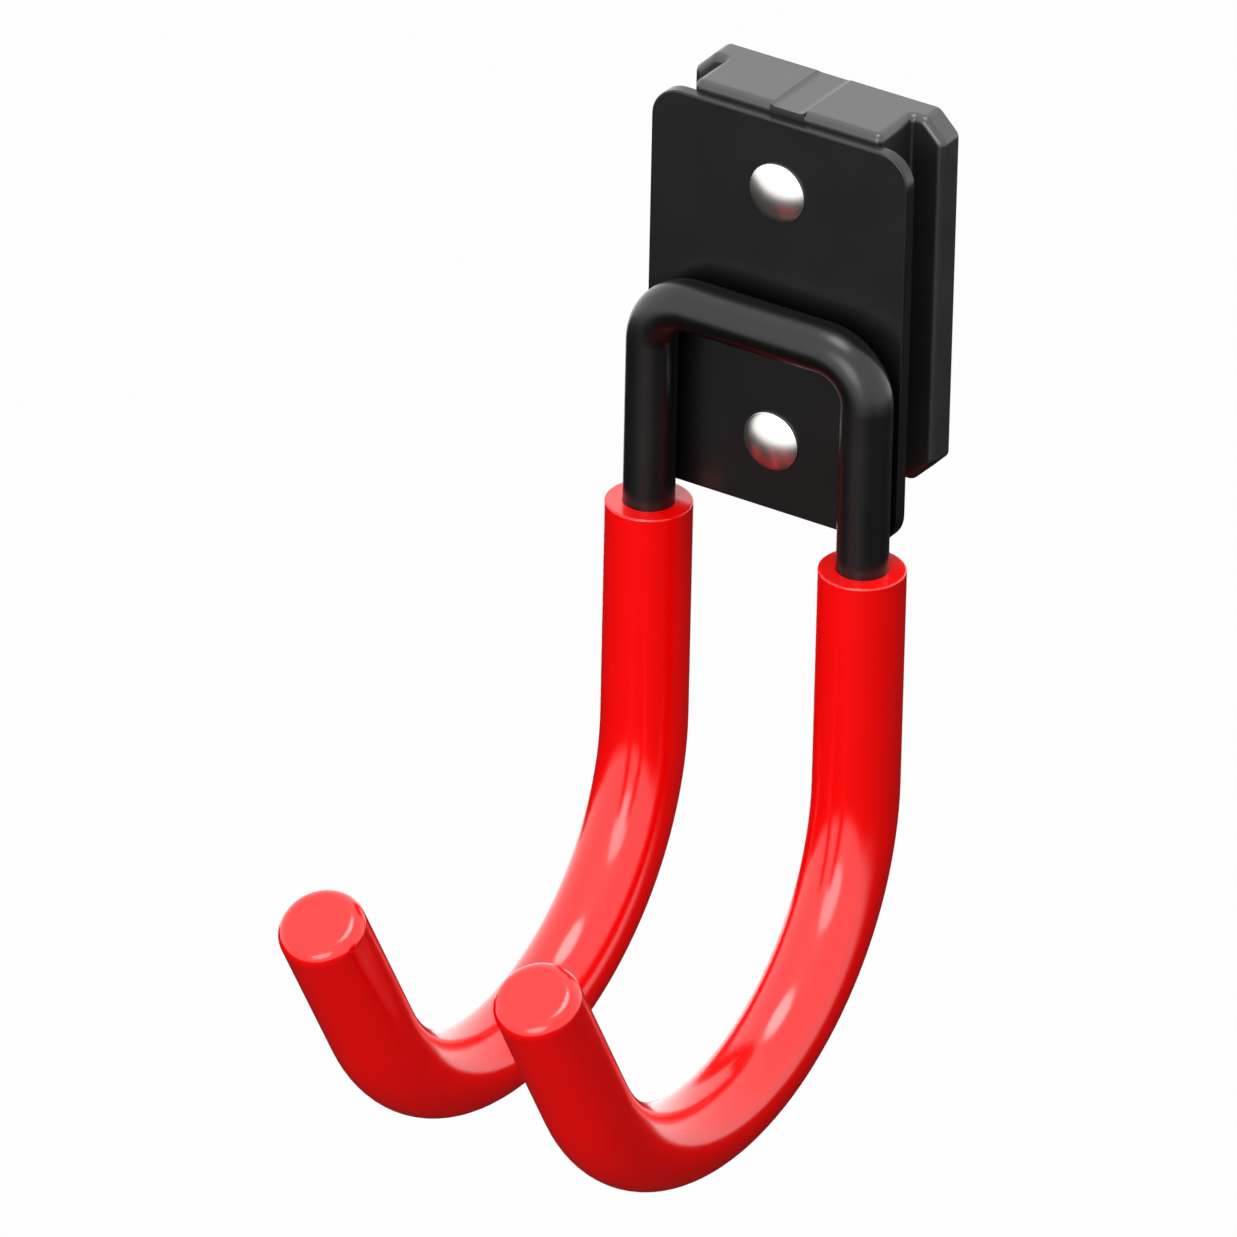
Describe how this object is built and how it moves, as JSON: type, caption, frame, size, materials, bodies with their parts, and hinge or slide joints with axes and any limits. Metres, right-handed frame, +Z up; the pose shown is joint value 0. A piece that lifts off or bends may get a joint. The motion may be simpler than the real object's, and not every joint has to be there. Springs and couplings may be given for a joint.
{
  "type": "double j hook with slide-in cleat",
  "caption": "Round bar bent into twin J arms with red vinyl sleeves, on a black riveted plate and a moulded T tongue that slides into a wall channel.",
  "frame": {"origin": "centre of the cleat's back face, where it rests on the bottom of the wall channel", "axes": "+Z up, along the channel; +X across the plate, to the right seen from the front; the hook reaches out along -Y, so +Y points into the wall"},
  "size_m": [0.0515, 0.1141, 0.153],
  "materials": {
    "black_powder_coat": "satin black powder coat over steel",
    "black_nylon": "moulded, lightly satin",
    "bright_steel": "bright plated steel, smooth",
    "red_vinyl": "soft glossy vinyl"
  },
  "bodies": {
    "root": {"back_plate": "black_powder_coat", "slide_cleat": "black_nylon", "upper_rivet": "bright_steel", "lower_rivet": "bright_steel", "hook_rod": "black_powder_coat", "left_sleeve": "red_vinyl", "right_sleeve": "red_vinyl", "crossbar_weld": "black_powder_coat"}
  },
  "joints": []
}
